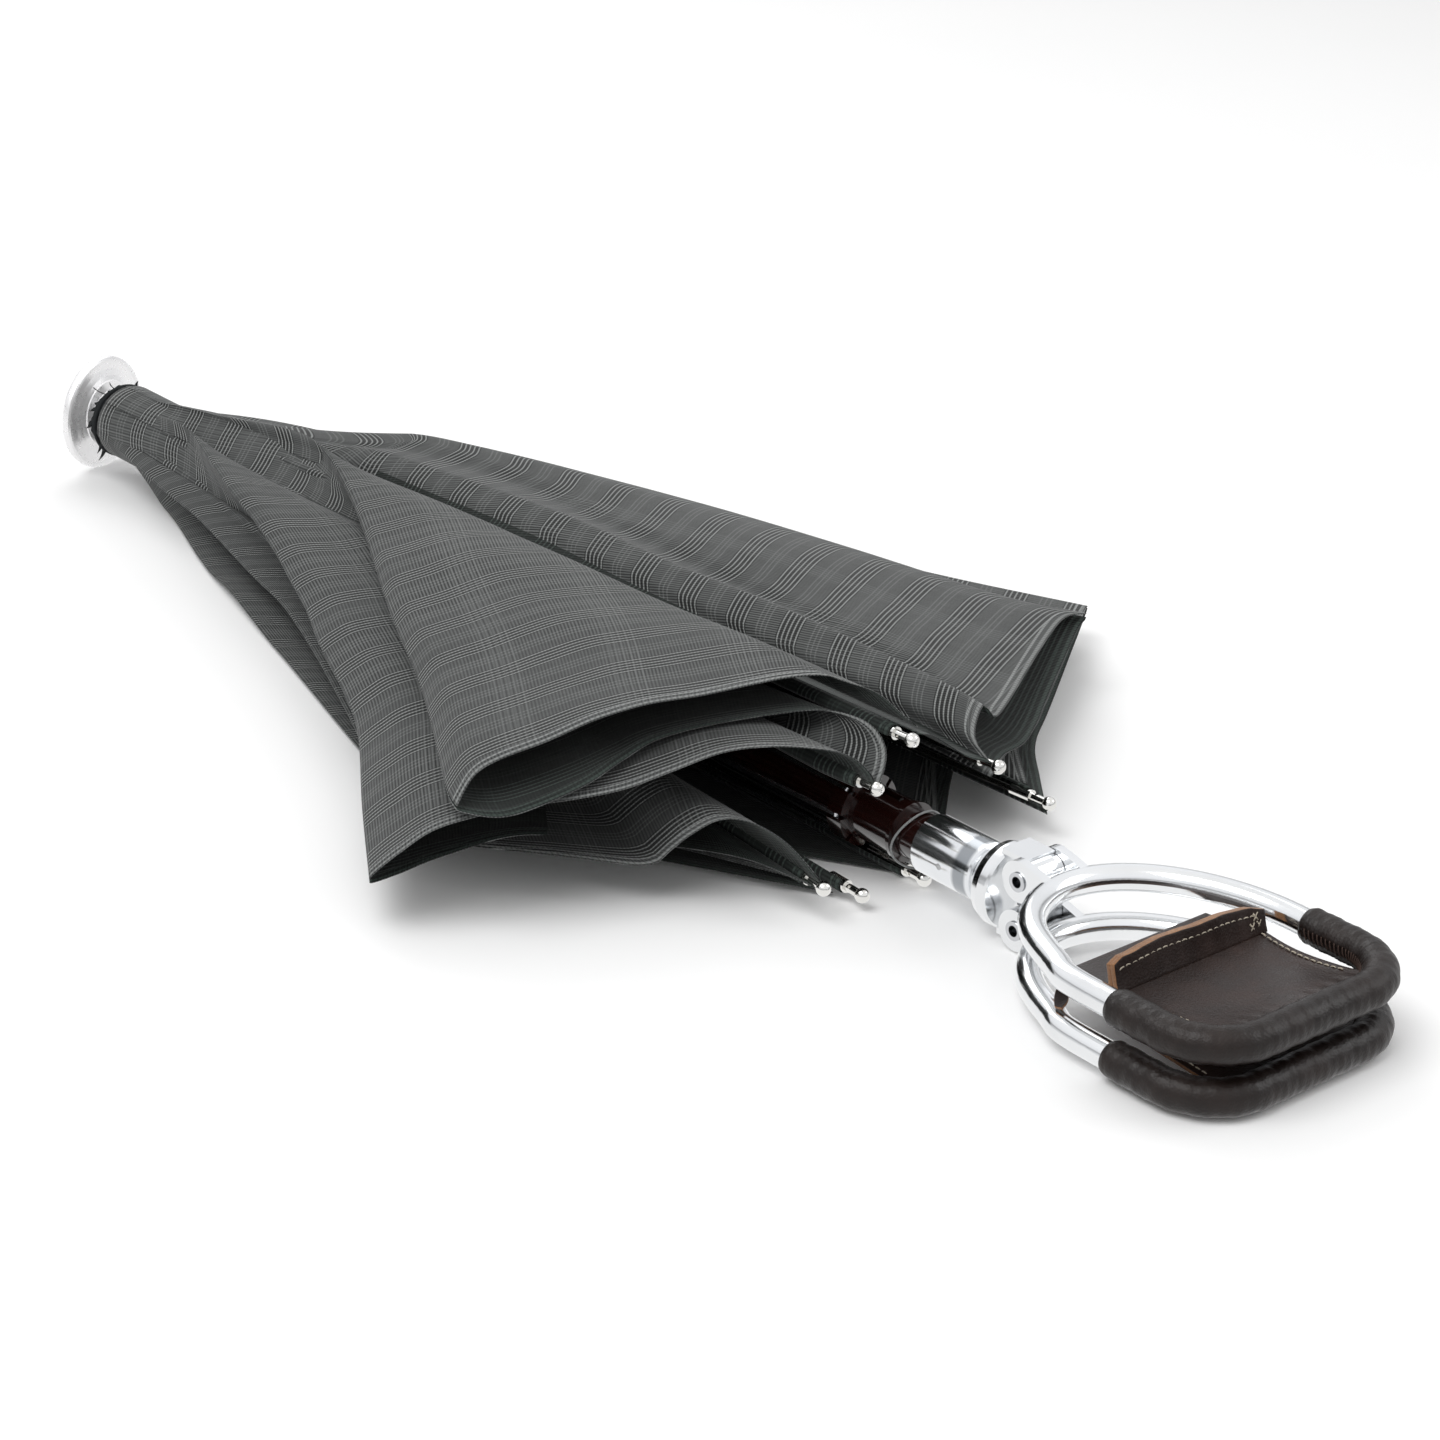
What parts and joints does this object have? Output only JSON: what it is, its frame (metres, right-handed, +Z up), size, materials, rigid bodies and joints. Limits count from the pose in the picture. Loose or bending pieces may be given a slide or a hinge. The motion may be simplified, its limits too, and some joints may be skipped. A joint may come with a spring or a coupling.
{
  "type": "umbrella seat stick",
  "caption": "Walking stick with a folded umbrella canopy round its shaft, a tilting ground disc at the foot and two hinged seat loops with a leather sling at the head.",
  "frame": {"origin": "centre of the bounding box's bottom face, on the surface that the stick lies on", "axes": "+X from the foot disc to the seat loops, +Z up as the stick lies, the seat hinges' rivets run along Y"},
  "size_m": [0.9092, 0.4686, 0.0757],
  "materials": {
    "polished_aluminium": "polished",
    "steel": "satin",
    "bright_nickel": "plated, bright",
    "brass": "bare",
    "mahogany_lacquer": "glossy lacquer",
    "brown_leather": "smooth, waxed",
    "check_cloth": "woven check",
    "black_cloth": "frayed"
  },
  "bodies": {
    "shaft": {"ferrule": "polished_aluminium", "disc_pin": "steel", "crown_notch": "brass", "crown_wire": "steel", "crown_cloth": "black_cloth", "shaft_tube": "mahogany_lacquer", "catch_pins": "steel", "stop_pin": "steel", "tie_loop": "check_cloth", "collar": "polished_aluminium", "head_casting": "polished_aluminium", "head_pin": "steel", "hinge_rivets": "steel"},
    "foot_disc": {"foot_disc": "polished_aluminium"},
    "runner": {"runner": "brass"},
    "rib_1": {"rib_1": "bright_nickel"},
    "stretcher_1": {"stretcher_1": "steel"},
    "rib_2": {"rib_2": "bright_nickel"},
    "stretcher_2": {"stretcher_2": "steel"},
    "rib_3": {"rib_3": "bright_nickel"},
    "stretcher_3": {"stretcher_3": "steel"},
    "rib_4": {"rib_4": "bright_nickel"},
    "stretcher_4": {"stretcher_4": "steel"},
    "rib_5": {"rib_5": "bright_nickel"},
    "stretcher_5": {"stretcher_5": "steel"},
    "rib_6": {"rib_6": "bright_nickel"},
    "stretcher_6": {"stretcher_6": "steel"},
    "rib_7": {"rib_7": "bright_nickel"},
    "stretcher_7": {"stretcher_7": "steel"},
    "rib_8": {"rib_8": "bright_nickel"},
    "stretcher_8": {"stretcher_8": "steel"},
    "gore_1a": {"gore_1a": "check_cloth"},
    "gore_1b": {"gore_1b": "check_cloth"},
    "gore_2a": {"gore_2a": "check_cloth"},
    "gore_2b": {"gore_2b": "check_cloth"},
    "gore_3a": {"gore_3a": "check_cloth"},
    "gore_3b": {"gore_3b": "check_cloth"},
    "gore_4a": {"gore_4a": "check_cloth"},
    "gore_4b": {"gore_4b": "check_cloth"},
    "gore_5a": {"gore_5a": "check_cloth"},
    "gore_5b": {"gore_5b": "check_cloth"},
    "gore_6a": {"gore_6a": "check_cloth"},
    "gore_6b": {"gore_6b": "check_cloth"},
    "gore_7a": {"gore_7a": "check_cloth"},
    "gore_7b": {"gore_7b": "check_cloth"},
    "gore_8a": {"gore_8a": "check_cloth"},
    "gore_8b": {"gore_8b": "check_cloth"},
    "lower_spring": {"lower_spring": "steel"},
    "upper_spring": {"upper_spring": "steel"},
    "upper_loop": {"upper_loop": "polished_aluminium", "upper_wrap": "brown_leather"},
    "upper_sling": {"upper_sling": "brown_leather"},
    "lower_loop": {"lower_loop": "polished_aluminium", "lower_wrap": "brown_leather"},
    "lower_sling": {"lower_sling": "brown_leather"}
  },
  "joints": [
    {"name": "disc_tilt", "type": "hinge", "parent": "shaft", "child": "foot_disc", "pos_m": [-0.43495, -0.02097, 0.03161], "axis": [0.0139, 0, 0.9999], "range_deg": [-39, 1]},
    {"name": "runner_slide", "type": "slide", "parent": "shaft", "child": "runner", "axis": [-0.9999, 0, 0.0139], "range_m": [0, 0.41575]},
    {"name": "rib_1_swing", "type": "hinge", "parent": "shaft", "child": "rib_1", "pos_m": [-0.41946, -0.00698, 0.0308], "axis": [0.0139, 0.0419, 0.999], "range_deg": [0, 75.26]},
    {"name": "stretcher_1_swing", "type": "hinge", "parent": "rib_1", "child": "stretcher_1", "pos_m": [-0.13088, 0.02119, 0.02561], "axis": [0.0139, 0.0419, 0.999], "range_deg": [-133.28, 0]},
    {"name": "rib_2_swing", "type": "hinge", "parent": "shaft", "child": "rib_2", "pos_m": [-0.41932, -0.01067, 0.04087], "axis": [0.0102, -0.6769, 0.736], "range_deg": [0, 77.41]},
    {"name": "stretcher_2_swing", "type": "hinge", "parent": "rib_2", "child": "stretcher_2", "pos_m": [-0.12956, -0.00026, 0.04641], "axis": [0.0102, -0.6769, 0.736], "range_deg": [-138.4, 0]},
    {"name": "rib_3_swing", "type": "hinge", "parent": "shaft", "child": "rib_3", "pos_m": [-0.41926, -0.02039, 0.04538], "axis": [0.0006, -0.9991, 0.0419], "range_deg": [0, 77.12]},
    {"name": "stretcher_3_swing", "type": "hinge", "parent": "rib_3", "child": "stretcher_3", "pos_m": [-0.1295, -0.01972, 0.05718], "axis": [0.0006, -0.9991, 0.0419], "range_deg": [-137.77, 0]},
    {"name": "rib_4_swing", "type": "hinge", "parent": "shaft", "child": "rib_4", "pos_m": [-0.41931, -0.03045, 0.0417], "axis": [-0.0094, -0.7361, -0.6768], "range_deg": [0, 77.44]},
    {"name": "stretcher_4_swing", "type": "hinge", "parent": "rib_4", "child": "stretcher_4", "pos_m": [-0.12953, -0.0399, 0.04795], "axis": [-0.0094, -0.7361, -0.6768], "range_deg": [-138.46, 0]},
    {"name": "rib_5_swing", "type": "hinge", "parent": "shaft", "child": "rib_5", "pos_m": [-0.41945, -0.03496, 0.03198], "axis": [-0.0139, -0.0419, -0.999], "range_deg": [0, 76.54]},
    {"name": "stretcher_5_swing", "type": "hinge", "parent": "rib_5", "child": "stretcher_5", "pos_m": [-0.13012, -0.05444, 0.02877], "axis": [-0.0139, -0.0419, -0.999], "range_deg": [-136.43, 0]},
    {"name": "rib_6_swing", "type": "hinge", "parent": "shaft", "child": "rib_6", "pos_m": [-0.41958, -0.03128, 0.02192], "axis": [-0.0102, 0.6769, -0.736], "range_deg": [0, 78.05]},
    {"name": "stretcher_6_swing", "type": "hinge", "parent": "rib_6", "child": "stretcher_6", "pos_m": [-0.1299, -0.03893, 0.01085], "axis": [-0.0102, 0.6769, -0.736], "range_deg": [-139.78, 0]},
    {"name": "rib_7_swing", "type": "hinge", "parent": "shaft", "child": "rib_7", "pos_m": [-0.41965, -0.02156, 0.01741], "axis": [-0.0006, 0.9991, -0.0419], "range_deg": [0, 79.61]},
    {"name": "stretcher_7_swing", "type": "hinge", "parent": "rib_7", "child": "stretcher_7", "pos_m": [-0.12971, -0.02164, 0.01141], "axis": [-0.0006, 0.9991, -0.0419], "range_deg": [-142.94, 0]},
    {"name": "rib_8_swing", "type": "hinge", "parent": "shaft", "child": "rib_8", "pos_m": [-0.4196, -0.0115, 0.02109], "axis": [0.0094, 0.7361, 0.6768], "range_deg": [0, 78.72]},
    {"name": "stretcher_8_swing", "type": "hinge", "parent": "rib_8", "child": "stretcher_8", "pos_m": [-0.12977, -0.00697, 0.01213], "axis": [0.0094, 0.7361, 0.6768], "range_deg": [-141.16, 0]},
    {"name": "gore_1a_fold", "type": "hinge", "parent": "rib_1", "child": "gore_1a", "pos_m": [-0.41946, -0.00698, 0.0308], "axis": [0.995, 0.097, -0.0222], "range_deg": [0, 92.6], "deforming": ["gore_1a"]},
    {"name": "gore_1b_fold", "type": "hinge", "parent": "rib_2", "child": "gore_1b", "pos_m": [-0.41932, -0.01067, 0.04087], "axis": [0.9989, 0.0471, 0.0069], "range_deg": [-43.92, 0], "deforming": ["gore_1b"]},
    {"name": "gore_2a_fold", "type": "hinge", "parent": "rib_2", "child": "gore_2a", "pos_m": [-0.41932, -0.01067, 0.04087], "axis": [0.9989, 0.0471, 0.0069], "range_deg": [0, 137.74], "deforming": ["gore_2a"]},
    {"name": "gore_2b_fold", "type": "hinge", "parent": "rib_3", "child": "gore_2b", "pos_m": [-0.41926, -0.02039, 0.04538], "axis": [0.999, -0.0192, 0.0416], "range_deg": [0, 0.69], "deforming": ["gore_2b"]},
    {"name": "gore_3a_fold", "type": "hinge", "parent": "rib_3", "child": "gore_3a", "pos_m": [-0.41926, -0.02039, 0.04538], "axis": [0.999, -0.0192, 0.0416], "range_deg": [-1.28, 0], "deforming": ["gore_3a"]},
    {"name": "gore_3b_fold", "type": "hinge", "parent": "rib_4", "child": "gore_3b", "pos_m": [-0.41931, -0.03045, 0.0417], "axis": [0.9992, -0.0332, 0.021], "range_deg": [-139.24, 0], "deforming": ["gore_3b"]},
    {"name": "gore_4a_fold", "type": "hinge", "parent": "rib_4", "child": "gore_4a", "pos_m": [-0.41931, -0.03045, 0.0417], "axis": [0.9992, -0.0332, 0.021], "range_deg": [0, 38.29], "deforming": ["gore_4a"]},
    {"name": "gore_4b_fold", "type": "hinge", "parent": "rib_5", "child": "gore_4b", "pos_m": [-0.41945, -0.03496, 0.03198], "axis": [0.9974, -0.0677, -0.024], "range_deg": [-93.75, 0], "deforming": ["gore_4b"]},
    {"name": "gore_5a_fold", "type": "hinge", "parent": "rib_5", "child": "gore_5a", "pos_m": [-0.41945, -0.03496, 0.03198], "axis": [0.9974, -0.0677, -0.024], "range_deg": [0, 88.92], "deforming": ["gore_5a"]},
    {"name": "gore_5b_fold", "type": "hinge", "parent": "rib_6", "child": "gore_5b", "pos_m": [-0.41958, -0.03128, 0.02192], "axis": [0.9989, -0.0403, -0.023], "range_deg": [-49.97, 0], "deforming": ["gore_5b"]},
    {"name": "gore_6a_fold", "type": "hinge", "parent": "rib_6", "child": "gore_6a", "pos_m": [-0.41958, -0.03128, 0.02192], "axis": [0.9989, -0.0403, -0.023], "range_deg": [0, 132.48], "deforming": ["gore_6a"]},
    {"name": "gore_6b_fold", "type": "hinge", "parent": "rib_7", "child": "gore_6b", "pos_m": [-0.41965, -0.02156, 0.01741], "axis": [0.9998, -0.0003, -0.0207], "range_deg": [-8.33, 0], "deforming": ["gore_6b"]},
    {"name": "gore_7a_fold", "type": "hinge", "parent": "rib_7", "child": "gore_7a", "pos_m": [-0.41965, -0.02156, 0.01741], "axis": [0.9998, -0.0003, -0.0207], "range_deg": [0, 2.65], "deforming": ["gore_7a"]},
    {"name": "gore_7b_fold", "type": "hinge", "parent": "rib_8", "child": "gore_7b", "pos_m": [-0.4196, -0.0115, 0.02109], "axis": [0.9994, 0.0213, -0.0257], "range_deg": [-140.06, 0], "deforming": ["gore_7b"]},
    {"name": "gore_8a_fold", "type": "hinge", "parent": "rib_8", "child": "gore_8a", "pos_m": [-0.4196, -0.0115, 0.02109], "axis": [0.9994, 0.0213, -0.0257], "range_deg": [0, 44.77], "deforming": ["gore_8a"]},
    {"name": "gore_8b_fold", "type": "hinge", "parent": "rib_1", "child": "gore_8b", "pos_m": [-0.41946, -0.00698, 0.0308], "axis": [0.995, 0.097, -0.0222], "range_deg": [-94.79, 0], "deforming": ["gore_8b"]},
    {"name": "lower_spring_press", "type": "hinge", "parent": "shaft", "child": "lower_spring", "pos_m": [0.16855, -0.02097, 0.02822], "axis": [0, -1, 0], "range_deg": [0, 3], "stiffness_Nm_per_rad": 0.05, "springref_deg": 3.44},
    {"name": "upper_spring_press", "type": "hinge", "parent": "shaft", "child": "upper_spring", "pos_m": [-0.24716, -0.02097, 0.034], "axis": [0, -1, 0], "range_deg": [0, 3], "stiffness_Nm_per_rad": 0.05, "springref_deg": 3.44},
    {"name": "upper_loop_hinge", "type": "hinge", "parent": "shaft", "child": "upper_loop", "pos_m": [0.29734, -0.02097, 0.03278], "axis": [0, -1, 0], "range_deg": [0, 32]},
    {"name": "upper_sling_hinge", "type": "hinge", "parent": "upper_loop", "child": "upper_sling", "pos_m": [0.44662, -0.02097, 0.03071], "axis": [0, -1, 0], "range_deg": [0, 33.7], "deforming": ["upper_sling"]},
    {"name": "lower_loop_hinge", "type": "hinge", "parent": "shaft", "child": "lower_loop", "pos_m": [0.29702, -0.02097, 0.01008], "axis": [0, 1, 0], "range_deg": [0, 32]},
    {"name": "lower_sling_hinge", "type": "hinge", "parent": "lower_loop", "child": "lower_sling", "pos_m": [0.44631, -0.02097, 0.00801], "axis": [0, 1, 0], "range_deg": [0, 33.7], "deforming": ["lower_sling"]}
  ],
  "couplings": [
    {"joint": "rib_1_swing", "follows": "runner_slide", "rad_per_m": 3.1594},
    {"joint": "stretcher_1_swing", "follows": "runner_slide", "rad_per_m": -5.5951},
    {"joint": "rib_2_swing", "follows": "runner_slide", "rad_per_m": 3.2495},
    {"joint": "stretcher_2_swing", "follows": "runner_slide", "rad_per_m": -5.8099},
    {"joint": "rib_3_swing", "follows": "runner_slide", "rad_per_m": 3.2377},
    {"joint": "stretcher_3_swing", "follows": "runner_slide", "rad_per_m": -5.7836},
    {"joint": "rib_4_swing", "follows": "runner_slide", "rad_per_m": 3.2508},
    {"joint": "stretcher_4_swing", "follows": "runner_slide", "rad_per_m": -5.8126},
    {"joint": "rib_5_swing", "follows": "runner_slide", "rad_per_m": 3.2131},
    {"joint": "stretcher_5_swing", "follows": "runner_slide", "rad_per_m": -5.7273},
    {"joint": "rib_6_swing", "follows": "runner_slide", "rad_per_m": 3.2766},
    {"joint": "stretcher_6_swing", "follows": "runner_slide", "rad_per_m": -5.8681},
    {"joint": "rib_7_swing", "follows": "runner_slide", "rad_per_m": 3.3421},
    {"joint": "stretcher_7_swing", "follows": "runner_slide", "rad_per_m": -6.0006},
    {"joint": "rib_8_swing", "follows": "runner_slide", "rad_per_m": 3.3046},
    {"joint": "stretcher_8_swing", "follows": "runner_slide", "rad_per_m": -5.9261},
    {"joint": "gore_1a_fold", "follows": "runner_slide", "rad_per_m": 3.8872},
    {"joint": "gore_1b_fold", "follows": "runner_slide", "rad_per_m": -1.8436},
    {"joint": "gore_2a_fold", "follows": "runner_slide", "rad_per_m": 5.7822},
    {"joint": "gore_2b_fold", "follows": "runner_slide", "rad_per_m": 0.028948},
    {"joint": "gore_3a_fold", "follows": "runner_slide", "rad_per_m": -0.053616},
    {"joint": "gore_3b_fold", "follows": "runner_slide", "rad_per_m": -5.8451},
    {"joint": "gore_4a_fold", "follows": "runner_slide", "rad_per_m": 1.6076},
    {"joint": "gore_4b_fold", "follows": "runner_slide", "rad_per_m": -3.9357},
    {"joint": "gore_5a_fold", "follows": "runner_slide", "rad_per_m": 3.733},
    {"joint": "gore_5b_fold", "follows": "runner_slide", "rad_per_m": -2.0977},
    {"joint": "gore_6a_fold", "follows": "runner_slide", "rad_per_m": 5.5613},
    {"joint": "gore_6b_fold", "follows": "runner_slide", "rad_per_m": -0.34961},
    {"joint": "gore_7a_fold", "follows": "runner_slide", "rad_per_m": 0.11132},
    {"joint": "gore_7b_fold", "follows": "runner_slide", "rad_per_m": -5.8797},
    {"joint": "gore_8a_fold", "follows": "runner_slide", "rad_per_m": 1.8796},
    {"joint": "gore_8b_fold", "follows": "runner_slide", "rad_per_m": -3.9794},
    {"joint": "upper_sling_hinge", "follows": "upper_loop_hinge", "ratio": 1.0531},
    {"joint": "lower_sling_hinge", "follows": "lower_loop_hinge", "ratio": 1.0531}
  ]
}
